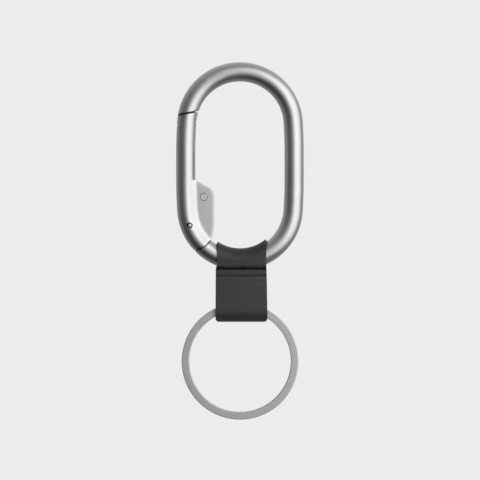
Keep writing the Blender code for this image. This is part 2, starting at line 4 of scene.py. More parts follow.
import bpy
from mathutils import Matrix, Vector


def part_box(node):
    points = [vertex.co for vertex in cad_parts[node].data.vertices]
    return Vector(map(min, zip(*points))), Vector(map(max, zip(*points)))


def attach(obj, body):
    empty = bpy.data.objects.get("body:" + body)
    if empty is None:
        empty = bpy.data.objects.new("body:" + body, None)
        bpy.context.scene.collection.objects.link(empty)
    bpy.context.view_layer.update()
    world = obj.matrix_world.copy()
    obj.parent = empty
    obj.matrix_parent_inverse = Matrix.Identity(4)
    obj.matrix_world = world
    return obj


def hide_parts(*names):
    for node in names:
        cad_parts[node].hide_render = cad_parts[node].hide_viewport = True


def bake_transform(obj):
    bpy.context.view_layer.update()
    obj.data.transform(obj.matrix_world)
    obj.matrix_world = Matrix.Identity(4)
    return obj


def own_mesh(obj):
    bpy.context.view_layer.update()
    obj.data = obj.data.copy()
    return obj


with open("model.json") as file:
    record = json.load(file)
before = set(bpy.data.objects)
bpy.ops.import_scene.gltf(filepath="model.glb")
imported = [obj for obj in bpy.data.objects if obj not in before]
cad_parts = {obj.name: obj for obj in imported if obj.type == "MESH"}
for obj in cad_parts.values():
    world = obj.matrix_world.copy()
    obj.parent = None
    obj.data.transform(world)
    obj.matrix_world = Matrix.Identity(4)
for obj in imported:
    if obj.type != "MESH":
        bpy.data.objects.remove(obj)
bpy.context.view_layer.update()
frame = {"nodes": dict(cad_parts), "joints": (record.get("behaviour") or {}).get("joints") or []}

# The bow: an oval of 5 mm round stainless bar, open on its left for the gate. It is bent, its
# ends are milled into a tongue at the nose and a hinge lug below, and it is bead blasted and
# then brushed by hand to an even satin.

JOINT_AT = {joint["name"]: joint.get("pos_m") for joint in frame["joints"]}
_, BOW_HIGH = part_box("bow_frame")
BAR_R = BOW_HIGH[1]
HALF_W = BOW_HIGH[0] - BAR_R
LOWER_BAR_Z = JOINT_AT["strap_swing"][2]
HALF_H = (BAR_R - LOWER_BAR_Z) / 2
SIDE_BULGE = 0.00023          # how far the sides stand out past the end arcs
SIDE_STRAIGHT = 0.0083
END_R = HALF_W - SIDE_BULGE
SHOULDER_RISE = HALF_H - END_R - SIDE_STRAIGHT / 2
SHOULDER_R = (HALF_W**2 - END_R**2 + SHOULDER_RISE**2) / (2 * SIDE_BULGE)
SHOULDER_TURN = math.atan2(SHOULDER_RISE, SHOULDER_R - HALF_W)
END_LENGTH = END_R * (math.pi / 2 - SHOULDER_TURN)
SHOULDER_LENGTH = SHOULDER_R * SHOULDER_TURN
STRETCHES = [
    (END_LENGTH, 1 / END_R),
    (SHOULDER_LENGTH, 1 / SHOULDER_R),
    (SIDE_STRAIGHT, 0),
    (SHOULDER_LENGTH, 1 / SHOULDER_R),
    (END_LENGTH, 1 / END_R),
] * 2
BOW_LENGTH = sum(length for length, _ in STRETCHES)
BAR_STEP = 0.0007
BAR_SIDES = 72

PIVOT = (JOINT_AT["gate_hinge"][0], JOINT_AT["gate_hinge"][2])
PIVOT_TURN = math.radians(70)
PIVOT_ALONG = BOW_LENGTH / 2 - END_R * PIVOT_TURN
JOINT_R = 0.0066
JOINT_GAP = 0.00026
LUG_HALF = 0.0007
LUG_EYE_R = 0.0017
LUG_HOLE_R = 0.000825
LUG_ROOT_R = 0.0012
LUG_ROOT_ALONG = PIVOT_ALONG + 0.0085
LUG_SHOULDER_R = 0.00239
CAM_CORNERS = ((0.0006, 0.00165), (0.0029, 0.0008))     # from the pivot
CAM_CORNER_R = 0.0001
NOSE_ALONG = END_R * math.radians(77.5)
NOSE_SLANT = math.radians(10.8)
NOSE_GAP = 0.0005
TONGUE_HALF = 0.0008
TONGUE_DEEP = 0.0022
TONGUE_REACH = 0.0020
FAR = 3 * BAR_R
EDGE_BREAK = 0.00009          # the rounding that blasting leaves on a milled edge


def along_bow(distance):
    """The bar's middle (x, z) and heading, this far from the top middle, leftwards first."""
    x, z, heading = 0.0, BAR_R, math.pi
    left = distance
    for length, bend in STRETCHES * 2:
        run = min(left, length)
        if bend:
            after = heading + bend * run
            x += (math.sin(after) - math.sin(heading)) / bend
            z -= (math.cos(after) - math.cos(heading)) / bend
            heading = after
        else:
            x += run * math.cos(heading)
            z += run * math.sin(heading)
        left -= run
        if left <= 0:
            break
    return x, z, heading


def edit(piece):
    """Opens one piece in edit mode with all of it selected."""
    bpy.ops.object.select_all(action="DESELECT")
    piece.select_set(True)
    bpy.context.view_layer.objects.active = piece
    bpy.ops.object.mode_set(mode="EDIT")
    bpy.ops.mesh.select_all(action="SELECT")


def close_edit():
    """Merges doubles, turns the faces outwards and leaves edit mode."""
    bpy.ops.mesh.select_all(action="SELECT")
    bpy.ops.mesh.remove_doubles(threshold=1e-7)
    bpy.ops.mesh.normals_make_consistent(inside=False)
    bpy.ops.object.mode_set(mode="OBJECT")


def added(name):
    """Names the primitive just added, and puts its place and turn into its mesh."""
    piece = bpy.context.object
    piece.name = name
    piece.data.name = name
    bpy.ops.object.transform_apply(location=True, rotation=True, scale=True)
    return piece


def apply(piece, kind, **values):
    """Adds a modifier with these values and applies it."""
    step = piece.modifiers.new(kind.lower(), kind)
    for key, value in values.items():
        setattr(step, key, value)
    bpy.ops.object.select_all(action="DESELECT")
    piece.select_set(True)
    bpy.context.view_layer.objects.active = piece
    bpy.ops.object.modifier_apply(modifier=step.name)


def machine(piece, operation, *tools):
    """Cuts a piece with tools, or joins them to it, and takes the tools away."""
    for tool in tools:
        apply(piece, "BOOLEAN", operation=operation, object=tool, solver="EXACT")
        bpy.data.objects.remove(tool)


def sweep(piece, start, end):
    """Carries a piece's open outline along the bow, from one distance to another."""
    edit(piece)
    passed = 0.0
    for length, bend in STRETCHES * 2:
        first, last = max(start, passed), min(end, passed + length)
        passed += length
        if last <= first:
            continue
        x, z, heading = along_bow(first)
        run = last - first
        if bend:
            centre = (x - math.sin(heading) / bend, 0, z + math.cos(heading) / bend)
            steps = max(1, math.ceil(run / BAR_STEP))
            bpy.ops.mesh.spin(steps=steps, angle=run * bend, center=centre, axis=(0, 1, 0))
        else:
            move = (run * math.cos(heading), 0, run * math.sin(heading))
            bpy.ops.mesh.extrude_region_move(TRANSFORM_OT_translate={"value": move})
    bpy.ops.mesh.select_all(action="SELECT")
    bpy.ops.mesh.fill_holes(sides=0)
    close_edit()
    return piece


def bar(name, start, end):
    """A stretch of round bar along the bow."""
    x, z, heading = along_bow(start)
    bpy.ops.object.select_all(action="DESELECT")
    bpy.ops.mesh.primitive_circle_add(
        vertices=BAR_SIDES, radius=BAR_R, location=(x, 0, z),
        rotation=(0, math.pi / 2 - heading, 0))
    return sweep(added(name), start, end)


def drill(place, radius, y_front=-FAR, y_back=FAR, sides=64):
    """A round tool through the bar at an (x, z) place."""
    x, z = place
    bpy.ops.object.select_all(action="DESELECT")
    bpy.ops.mesh.primitive_cylinder_add(
        vertices=sides, radius=radius, depth=y_back - y_front,
        location=(x, (y_front + y_back) / 2, z), rotation=(math.pi / 2, 0, 0))
    return added("drill")


def nose_block(along, down, y_half=FAR):
    """A block set to the nose's slanted cut: along it, down from it, and this deep each way."""
    x, z, _ = along_bow(NOSE_ALONG)
    middle, depth = (along[0] + along[1]) / 2, (down[0] + down[1]) / 2
    cos, sin = math.cos(NOSE_SLANT), math.sin(NOSE_SLANT)
    bpy.ops.object.select_all(action="DESELECT")
    bpy.ops.mesh.primitive_cube_add(
        size=1, location=(x + middle * cos + depth * sin, 0, z + middle * sin - depth * cos),
        rotation=(0, -NOSE_SLANT, 0), scale=(along[1] - along[0], 2 * y_half, down[1] - down[0]))
    return added("nose_block")


def join(*pieces):
    """Joins pieces into the first."""
    bpy.ops.object.select_all(action="DESELECT")
    for piece in pieces:
        piece.select_set(True)
    bpy.context.view_layer.objects.active = pieces[0]
    bpy.ops.object.join()
    return pieces[0]


def hull(*pieces):
    """One convex block round all of the pieces."""
    piece = join(*pieces)
    edit(piece)
    bpy.ops.mesh.convex_hull()
    close_edit()
    return piece


def lug(room, half):
    """The hinge lug's eye, shoulder, neck and cam corner as one block, or the room it needs."""
    root_x, root_z, _ = along_bow(LUG_ROOT_ALONG)
    shoulder_x, shoulder_z, _ = along_bow(PIVOT_ALONG + JOINT_R)
    parts = [
        drill(PIVOT, LUG_EYE_R + room, -half, half),
        drill((root_x, root_z), LUG_ROOT_R + room, -half, half),
        drill((shoulder_x, shoulder_z), LUG_SHOULDER_R + room, -half, half),
    ]
    for x, z in CAM_CORNERS:
        corner = (PIVOT[0] + x, PIVOT[1] + z)
        parts.append(drill(corner, CAM_CORNER_R + room, -half, half, 16))
    return hull(*parts)


def smooth(piece, angle=50):
    """Shades round stretches smooth, and lets each wide flat face keep its own flat light."""
    bpy.ops.object.select_all(action="DESELECT")
    piece.select_set(True)
    bpy.context.view_layer.objects.active = piece
    bpy.ops.object.shade_smooth_by_angle(angle=math.radians(angle))
    apply(piece, "WEIGHTED_NORMAL", keep_sharp=True, weight=50)


def break_edges(piece, width=EDGE_BREAK, angle=40):
    """Rounds the sharp edges a little and shades the rest as one smooth surface."""
    apply(piece, "BEVEL", width=width, segments=2, limit_method="ANGLE",
          angle_limit=math.radians(angle), use_clamp_overlap=True)
    smooth(piece)


def node_at(tree, kind, place, **values):
    """A shader node at a place in its editor, with settings, or socket values by name."""
    node = tree.nodes.new(kind)
    node.location = place
    for key, value in values.items():
        if key in node.bl_rna.properties:
            setattr(node, key, value)
        else:
            node.inputs[key.replace("_", " ")].default_value = value
    return node


def blasted_grain():
    """A group: the fine pitting of bead blasting, and slow changes of tone over a surface."""
    group = bpy.data.node_groups.new("blasted_grain", "ShaderNodeTree")
    face = group.interface
    face.new_socket(name="Pit Scale", in_out="INPUT", socket_type="NodeSocketFloat")
    face.new_socket(name="Cloud Scale", in_out="INPUT", socket_type="NodeSocketFloat")
    face.new_socket(name="Pits", in_out="OUTPUT", socket_type="NodeSocketFloat")
    face.new_socket(name="Cloud", in_out="OUTPUT", socket_type="NodeSocketFloat")
    inside = node_at(group, "NodeGroupInput", (-800, 0))
    outside = node_at(group, "NodeGroupOutput", (300, 0))
    where = node_at(group, "ShaderNodeTexCoord", (-800, -200))
    pits = node_at(group, "ShaderNodeTexNoise", (-400, 150), Detail=3.0, Roughness=0.6)
    cloud = node_at(group, "ShaderNodeTexNoise", (-400, -150), Detail=2.0, Roughness=0.5)
    for noise, scale, out in ((pits, "Pit Scale", "Pits"), (cloud, "Cloud Scale", "Cloud")):
        group.links.new(where.outputs["Object"], noise.inputs["Vector"])
        group.links.new(inside.outputs[scale], noise.inputs["Scale"])
        group.links.new(noise.outputs["Fac"], outside.inputs[out])
    return group


def worn_edges():
    """A group: a mask of the convex edges, broken up so that the wear isn't even."""
    group = bpy.data.node_groups.new("worn_edges", "ShaderNodeTree")
    face = group.interface
    face.new_socket(name="Start", in_out="INPUT", socket_type="NodeSocketFloat")
    face.new_socket(name="End", in_out="INPUT", socket_type="NodeSocketFloat")
    face.new_socket(name="Break Scale", in_out="INPUT", socket_type="NodeSocketFloat")
    face.new_socket(name="Edge", in_out="OUTPUT", socket_type="NodeSocketFloat")
    inside = node_at(group, "NodeGroupInput", (-800, 0))
    outside = node_at(group, "NodeGroupOutput", (500, 0))
    shape = node_at(group, "ShaderNodeNewGeometry", (-800, 250))
    where = node_at(group, "ShaderNodeTexCoord", (-800, -250))
    patches = node_at(group, "ShaderNodeTexNoise", (-500, -200), Detail=3.0)
    span = node_at(group, "ShaderNodeMapRange", (-200, 150))
    both = node_at(group, "ShaderNodeMath", (200, 0), operation="MULTIPLY")
    group.links.new(where.outputs["Object"], patches.inputs["Vector"])
    group.links.new(inside.outputs["Break Scale"], patches.inputs["Scale"])
    group.links.new(shape.outputs["Pointiness"], span.inputs["Value"])
    group.links.new(inside.outputs["Start"], span.inputs["From Min"])
    group.links.new(inside.outputs["End"], span.inputs["From Max"])
    group.links.new(span.outputs["Result"], both.inputs[0])
    group.links.new(patches.outputs["Fac"], both.inputs[1])
    group.links.new(both.outputs[0], outside.inputs["Edge"])
    return group


BLASTED_GRAIN = blasted_grain()
WORN_EDGES = worn_edges()


def satin_metal(name, colour, roughness, pit_depth=0.000004, pit_scale=9000.0, edge_gloss=0.12):
    """Blasted and hand-brushed steel: even, dull, a little smoother on its worn edges."""
    mat = bpy.data.materials.new(name)
    mat.use_nodes = True
    tree = mat.node_tree
    shader = tree.nodes["Principled BSDF"]
    shader.inputs["Metallic"].default_value = 1.0
    grain = node_at(tree, "ShaderNodeGroup", (-900, 100))
    grain.node_tree = BLASTED_GRAIN
    grain.inputs["Pit Scale"].default_value = pit_scale
    grain.inputs["Cloud Scale"].default_value = 220.0
    wear = node_at(tree, "ShaderNodeGroup", (-900, -200))
    wear.node_tree = WORN_EDGES
    wear.inputs["Start"].default_value = 0.53
    wear.inputs["End"].default_value = 0.62
    wear.inputs["Break Scale"].default_value = 900.0
    tint = node_at(tree, "ShaderNodeMix", (-400, 250), data_type="RGBA")
    tint.inputs["A"].default_value = (*[part * 0.93 for part in colour], 1)
    tint.inputs["B"].default_value = (*[min(1.0, part * 1.07) for part in colour], 1)
    dull = node_at(tree, "ShaderNodeMapRange", (-600, 0))
    dull.inputs["To Min"].default_value = roughness - 0.03
    dull.inputs["To Max"].default_value = roughness + 0.03
    rub = node_at(tree, "ShaderNodeMath", (-600, -250), operation="MULTIPLY")
    rub.inputs[1].default_value = edge_gloss
    gloss = node_at(tree, "ShaderNodeMath", (-350, -50), operation="SUBTRACT")
    bump = node_at(tree, "ShaderNodeBump", (-350, -300))
    bump.inputs["Distance"].default_value = pit_depth
    bump.inputs["Strength"].default_value = 1.0
    tree.links.new(grain.outputs["Cloud"], tint.inputs["Factor"])
    tree.links.new(grain.outputs["Cloud"], dull.inputs["Value"])
    tree.links.new(wear.outputs["Edge"], rub.inputs[0])
    tree.links.new(dull.outputs["Result"], gloss.inputs[0])
    tree.links.new(rub.outputs[0], gloss.inputs[1])
    tree.links.new(grain.outputs["Pits"], bump.inputs["Height"])
    tree.links.new(tint.outputs["Result"], shader.inputs["Base Color"])
    tree.links.new(gloss.outputs[0], shader.inputs["Roughness"])
    tree.links.new(bump.outputs["Normal"], shader.inputs["Normal"])
    return mat


def fit(piece, mat, body, slot, *nodes):
    """Gives a piece its material and its body, and hides the CAD nodes that it stands for. The
    slot is not used.
    """
    piece.data.materials.clear()
    piece.data.materials.append(mat)
    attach(piece, body)
    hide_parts(*nodes)


def paint_shade_on_cut_faces(piece):
    """Paints shade on the faces cut into the bar, in its joint, gaps, slots and bores: a
    near-black metal stands in for the shadow that falls there.
    """
    piece.data.materials.append(SHADE_PAINTED_STEEL)
    for face in piece.data.polygons:
        x, y, z = face.center
        beyond = z - min(max(z, LOWER_BAR_Z + END_R), BAR_R - END_R)
        bar_middle = HALF_W if beyond == 0 else END_R
        from_middle = math.hypot(math.hypot(x, beyond) - bar_middle, y)
        if from_middle < BAR_R - SIDE_BULGE - EDGE_BREAK:
            face.material_index = 1


BOW_START = PIVOT_ALONG + 0.6 * JOINT_R
BOW_END = BOW_LENGTH + NOSE_ALONG + TONGUE_DEEP + BAR_R
bow = bar("bow_bar", BOW_START, BOW_END)
machine(bow, "DIFFERENCE", drill(PIVOT, JOINT_R + JOINT_GAP / 2, sides=160))
beside_tongue = nose_block((-FAR, FAR), (-NOSE_GAP / 2, FAR))
machine(beside_tongue, "DIFFERENCE",
        nose_block((-2 * FAR, TONGUE_REACH), (-FAR, 2 * FAR), TONGUE_HALF))
machine(bow, "DIFFERENCE", beside_tongue,
        nose_block((-1.5 * FAR, 1.5 * FAR), (TONGUE_DEEP, 1.5 * FAR), 1.5 * FAR))
machine(bow, "UNION", lug(0, LUG_HALF))
machine(bow, "DIFFERENCE", drill(PIVOT, LUG_HOLE_R))
break_edges(bow)
BLASTED_STEEL = satin_metal("blasted_steel", (0.60, 0.60, 0.603), 0.41)
# A near-black metal used as painted shade on the cut faces in the joint, gaps, slots and bores.
SHADE_PAINTED_STEEL = satin_metal("oiled_steel", (0.045, 0.045, 0.047), 0.50)
fit(bow, BLASTED_STEEL, "bow", "satin_metal", "bow_frame")
# Painted shade on the bow's cut faces: its joint, tongue and lug.
paint_shade_on_cut_faces(bow)


# The gate: the same round bar with a flat thumb fin milled in one piece with it. Its tip is
# slotted for the nose's tongue and its foot for the hinge lug, and a bore in the fin takes the
# spring. It is blasted together with the bow.

FIN_HALF = 0.0015
FIN_EDGE_X = -HALF_W + 0.00726
FIN_TOP_Z = PIVOT[1] + 0.0117
FIN_TOP_TURN = math.radians(72)
FIN_CORNER_R = 0.0021
FIN_CORNER = (FIN_EDGE_X - FIN_CORNER_R, PIVOT[1] + 0.0078)
FIN_FOOT_R = 0.0105
FIN_FOOT = (FIN_EDGE_X - FIN_FOOT_R, PIVOT[1] + 0.0006)
FIN_FILLET = 0.0026
SKIRT_SUNK = 0.000001         # the fillet's foot under the fin's face, so that the two join
FIN_CHAMFER = 0.00032
SEAT_PIN = (FIN_EDGE_X - 0.0026, PIVOT[1] + 0.00735)
SEAT_HOLE_R = 0.00102
HINGE_HOLE_R = 0.00078
BORE_R = 0.00085
BORE_LENGTH = 0.00643
SLOT_END_ROOM = 0.0006        # left past the tongue's end, for its swing
CLEAR = 0.0001
GATE_OPEN = math.radians(28)


def draw(name, start, moves):
    """A wire outline in the local XY plane: a move is a point, or a centre and an angle."""
    bpy.ops.object.select_all(action="DESELECT")
    bpy.ops.mesh.primitive_plane_add(size=BAR_R)
    piece = added(name)
    edit(piece)
    bpy.ops.mesh.merge(type="CENTER")
    bpy.ops.transform.translate(value=(start[0], start[1], 0))
    x, y = start
    for move in moves:
        if len(move) == 2:
            step = (move[0] - x, move[1] - y, 0)
            bpy.ops.mesh.extrude_vertices_move(TRANSFORM_OT_translate={"value": step})
            x, y = move
        else:
            centre_x, centre_y, angle = move
            count = max(3, math.ceil(abs(angle) / math.radians(5)))
            bpy.ops.mesh.spin(
                steps=count, angle=abs(angle), center=(centre_x, centre_y, 0),
                axis=(0, 0, -1 if angle > 0 else 1))
            cos, sin = math.cos(angle), math.sin(angle)
            dx, dy = x - centre_x, y - centre_y
            x, y = centre_x + dx * cos - dy * sin, centre_y + dx * sin + dy * cos
    bpy.ops.mesh.select_all(action="SELECT")
    bpy.ops.mesh.remove_doubles(threshold=1e-7)
    bpy.ops.mesh.edge_face_add()
    bpy.ops.object.mode_set(mode="OBJECT")
    return piece


def plate(name, start, moves, y_front, y_back):
    """A flat plate with an (x, z) outline, from one depth to another."""
    piece = draw(name, start, moves)
    piece.rotation_euler = (math.pi / 2, 0, 0)
    piece.location = (0, y_front, 0)
    bpy.ops.object.transform_apply(location=True, rotation=True, scale=True)
    edit(piece)
    bpy.ops.mesh.extrude_region_move(TRANSFORM_OT_translate={"value": (0, y_back - y_front, 0)})
    close_edit()
    return piece


def fin_plate(half):
    """The fin's outline, from the bar's middle out to its rounded nose and back to the joint."""
    foot_turn = math.asin(2 * BAR_R / FIN_FOOT_R)
    corner = (FIN_CORNER[0] + FIN_CORNER_R * math.cos(FIN_TOP_TURN),
              FIN_CORNER[1] + FIN_CORNER_R * math.sin(FIN_TOP_TURN))
    beyond_x, beyond_z, _ = along_bow(PIVOT_ALONG + JOINT_R)
    low_x, low_z, _ = along_bow(PIVOT_ALONG)
    moves = [
        (-HALF_W + BAR_R, FIN_TOP_Z),
        corner,
        (*FIN_CORNER, -FIN_TOP_TURN),
        (FIN_EDGE_X, FIN_FOOT[1]),
        (*FIN_FOOT, -foot_turn),
        (beyond_x, beyond_z),
        (low_x, low_z),
        (-HALF_W, low_z + 2 * BAR_R),
    ]
    return plate("fin", (-HALF_W, FIN_TOP_Z), moves, -half, half)


def fillet_skirt():
    """The hollow fillet that runs from the bar's side down to the fin's face, along the fin."""
    rise = BAR_R + FIN_FILLET
    across = -math.sqrt(rise**2 - (FIN_HALF + FIN_FILLET)**2)
    lean = math.atan2(FIN_HALF + FIN_FILLET, -across)
    start = (across * BAR_R / rise, (FIN_HALF + FIN_FILLET) * BAR_R / rise)
    sunk = FIN_HALF - SKIRT_SUNK
    moves = [
        (across, FIN_HALF + FIN_FILLET, -(math.pi / 2 - lean)),
        (across, sunk),
        (across, -sunk),
        (across, -FIN_HALF),
        (across, -FIN_HALF - FIN_FILLET, -(math.pi / 2 - lean)),
        (0, -start[1]),
        (0, start[1]),
    ]
    piece = draw("skirt", start, moves)
    edit(piece)
    bpy.ops.mesh.delete(type="ONLY_FACE")
    bpy.ops.object.mode_set(mode="OBJECT")
    first, last = NOSE_ALONG + 2 * BAR_R, PIVOT_ALONG + JOINT_R
    x, z, heading = along_bow(first)
    piece.rotation_euler = (0, math.pi / 2 - heading, 0)
    piece.location = (x, 0, z)
    bpy.ops.object.transform_apply(location=True, rotation=True, scale=True)
    return sweep(piece, first, last)


gate = bar("gate_bar", NOSE_ALONG - BAR_R, PIVOT_ALONG + 1.4 * JOINT_R)
skirt = fillet_skirt()
machine(skirt, "INTERSECT", fin_plate(FAR))
fin = fin_plate(FIN_HALF)
apply(fin, "BEVEL", width=FIN_CHAMFER, segments=4, limit_method="ANGLE",
      angle_limit=math.radians(60))
machine(gate, "UNION", fin, skirt)

FOOT_START, FOOT_TURN = math.radians(-150), math.radians(128)
foot_in, foot_out = JOINT_R - JOINT_GAP / 2, JOINT_R + 2 * BAR_R
foot_moves = [
    (*PIVOT, FOOT_TURN),
    (PIVOT[0] + foot_out * math.cos(FOOT_START + FOOT_TURN),
     PIVOT[1] + foot_out * math.sin(FOOT_START + FOOT_TURN)),
    (*PIVOT, -FOOT_TURN),
]
foot_from = (PIVOT[0] + foot_in * math.cos(FOOT_START),
             PIVOT[1] + foot_in * math.sin(FOOT_START))
machine(gate, "DIFFERENCE", plate("foot_cut", foot_from, foot_moves, -FAR, FAR))

lug_room = []
for share in (0.0, 0.5, 1.0):
    slot = lug(CLEAR, LUG_HALF + CLEAR)
    edit(slot)
    bpy.ops.transform.rotate(value=GATE_OPEN * share, orient_axis="Y",
                             center_override=(PIVOT[0], 0, PIVOT[1]))
    bpy.ops.object.mode_set(mode="OBJECT")
    lug_room.append(slot)
machine(gate, "DIFFERENCE", hull(*lug_room))
machine(gate, "DIFFERENCE",
        nose_block((-2 * FAR, 2 * FAR), (-2 * FAR, NOSE_GAP / 2)),
        nose_block((-FAR, TONGUE_REACH + CLEAR), (-NOSE_GAP, TONGUE_DEEP + SLOT_END_ROOM),
                   TONGUE_HALF + CLEAR))

PLUNGER_LOW, PLUNGER_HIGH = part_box("gate_plunger")
line_x = SEAT_PIN[0] - (PLUNGER_LOW[0] + PLUNGER_HIGH[0]) / 2
line_z = SEAT_PIN[1] - (PLUNGER_LOW[2] + PLUNGER_HIGH[2]) / 2
line_angle = math.atan2(line_x, line_z)
LINE_UP = (math.sin(line_angle), math.cos(line_angle))


def up_bore(start, distance):
    """The place in the middle plane this far from start, up the spring's bore."""
    return (start[0] + LINE_UP[0] * distance, 0, start[1] + LINE_UP[1] * distance)


bpy.ops.object.select_all(action="DESELECT")
bpy.ops.mesh.primitive_cylinder_add(
    vertices=32, radius=BORE_R, depth=BORE_LENGTH, rotation=(0, line_angle, 0),
    location=up_bore(SEAT_PIN, -BORE_LENGTH / 2))
machine(gate, "DIFFERENCE", added("spring_bore"))
machine(gate, "DIFFERENCE", drill(PIVOT, HINGE_HOLE_R), drill(SEAT_PIN, SEAT_HOLE_R))
break_edges(gate)
fit(gate, BLASTED_STEEL, "gate", "satin_metal", "gate")
# Painted shade on the gate's cut faces: its joint, slots, bore and holes.
paint_shade_on_cut_faces(gate)


# The two cross pins: hardened dowels pressed through the gate. The hinge pin's ends are drawn in
# to a button that stands in a narrow ring groove, and the pin that seats the spring is dressed
# flush with the fin's faces.

PIN_EDGE_BREAK = 0.00007
PIN_STEEL = satin_metal("pin_steel", (0.64, 0.64, 0.643), 0.40, pit_depth=0.000003)


def dowel(name, node, radius, step, rise):
    """A round pin where its CAD node is. Each end steps in and then rises to a flat button."""
    low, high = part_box(node)
    middle = ((low[0] + high[0]) / 2, (low[2] + high[2]) / 2)
    piece = drill(middle, radius, low[1] + rise, high[1] - rise)
    piece.name = name
    piece.data.name = name
    for end in (low[1], high[1]):
        edit(piece)
        bpy.ops.mesh.select_all(action="DESELECT")
        bpy.ops.object.mode_set(mode="OBJECT")
        for face in piece.data.polygons:
            face.select = face.normal.y * end > 0.9 * abs(end)
        bpy.ops.object.mode_set(mode="EDIT")
        bpy.ops.mesh.select_mode(type="FACE")
        bpy.ops.mesh.inset(thickness=step)
        move = (0, math.copysign(rise, end), 0)
        bpy.ops.mesh.extrude_region_move(TRANSFORM_OT_translate={"value": move})
        bpy.ops.object.mode_set(mode="OBJECT")
    edit(piece)
    close_edit()
    break_edges(piece, width=PIN_EDGE_BREAK)
    fit(piece, PIN_STEEL, "gate", "pin_steel", node)
    # Painted shade: the near-black metal goes on the pin's shaft and on the ring groove round each
    # end's button.
    piece.data.materials.append(SHADE_PAINTED_STEEL)
    for face in piece.data.polygons:
        if abs(face.center.y) < high[1] - rise / 2:
            face.material_index = 1


dowel("hinge_pin", "gate_pivot_pin", radius=0.000725, step=0.00027, rise=0.00055)
dowel("seat_pin", "spring_seat_pin", radius=0.0010, step=0.00010, rise=0.00006)


# The spring and its plunger: a small compression spring of blued wire in the fin's bore, and
# the headed steel plunger that it holds against the lug's cam face. The coil shortens as the
# gate opens, since the plunger then rides up its bore.

WIRE_R = 0.000125
COIL_R = 0.000625
COIL_TURNS = 4.5
COIL_STEPS = 126
down_bore = [
    (SEAT_PIN[0] - vertex.co.x) * LINE_UP[0] + (SEAT_PIN[1] - vertex.co.z) * LINE_UP[1]
    for vertex in frame["nodes"]["gate_spring"].data.vertices
]
coil_top, coil_foot = min(down_bore), max(down_bore)
coil_length = coil_foot - coil_top
bpy.ops.object.select_all(action="DESELECT")
bpy.ops.mesh.primitive_circle_add(
    vertices=12, radius=WIRE_R, location=(COIL_R, 0, 0), rotation=(math.pi / 2, 0, 0))
spring = added("closing_spring")
apply(spring, "SCREW", angle=2 * math.pi * COIL_TURNS, screw_offset=coil_length - 2 * WIRE_R,
      steps=COIL_STEPS, render_steps=COIL_STEPS)
edit(spring)
bpy.ops.mesh.fill_holes(sides=0)
close_edit()
spring.rotation_euler = (0, line_angle, 0)
spring.location = up_bore(SEAT_PIN, WIRE_R - coil_foot)
bpy.ops.object.transform_apply(location=True, rotation=True, scale=True)
smooth(spring)
SPRING_STEEL = satin_metal("spring_steel", (0.30, 0.31, 0.33), 0.22, pit_depth=0.000001)
fit(spring, SPRING_STEEL, "gate", "spring_steel", "gate_spring")
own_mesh(spring)


def coat(node, mat):
    """Gives a piece that is shown as the CAD has it a better material."""
    shown = frame["nodes"][node]
    shown.data.materials.clear()
    shown.data.materials.append(mat)


coat("gate_plunger", PIN_STEEL)


# The strap: one band of 0.6 mm full-grain leather, dyed black, with burnished and painted
# edges. It wraps the bow, runs down the back, folds round the key ring and comes up the front
# to an edge with a pressed bead, over its own tail.

FOLD_Z = JOINT_AT["ring_swing"][2]
STRAP_LOW, STRAP_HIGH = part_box("strap_outer")
LEATHER = 0.0006
STRAP_MIDDLE = (STRAP_LOW[0] + STRAP_HIGH[0]) / 2
STRAP_HALF = (STRAP_HIGH[0] - STRAP_LOW[0]) / 2
FOLD_R = FOLD_Z - STRAP_LOW[2]
MID_R = FOLD_R - LEATHER / 2
FLAP_TOP_Z = LOWER_BAR_Z - 0.00216
BEAD_END_Z = LOWER_BAR_Z - 0.00392
CREASE_Z = LOWER_BAR_Z - 0.00180
LOOP_SNUG = BAR_R + 0.00008 + LEATHER / 2               # the loop's middle line, off the bar
HANG_LEAN = 0.00010
HANG_END_Z = CREASE_Z + 0.00065
TAIL_Y = -0.0013
TAIL_END_Z = FOLD_Z + 0.0029
BACK_TOP_Z = LOWER_BAR_Z - 0.0042
CORNER_R = 0.0009
EDGE_ROUND = 0.00018
STRAP_COLUMNS = 45
STRAP_CROWN = 0.00010         # how far the middle of the panel stands out past its edges
PANEL_SPREAD = 0.00018        # how far each edge stands out at the fold
PANEL_TAPER = 0.00014         # and how much of that is gone at the flap's top
LOOP_PINCH = 0.00022          # each edge of the loop is drawn in by the bend
PANEL_LEAN = 0.00008          # the band hangs this far to the left of its slot's middle
TAPER_LEAN = 0.00007
LOOP_LEAN = 0.00015


def bezier(points, count):
    """Points along a cubic curve, without its first."""
    made = []
    for i in range(1, count + 1):
        t = i / count
        weights = ((1 - t)**3, 3 * t * (1 - t)**2, 3 * t * t * (1 - t), t**3)
        made.append(tuple(sum(w * p[k] for w, p in zip(weights, points)) for k in (0, 1)))
    return made


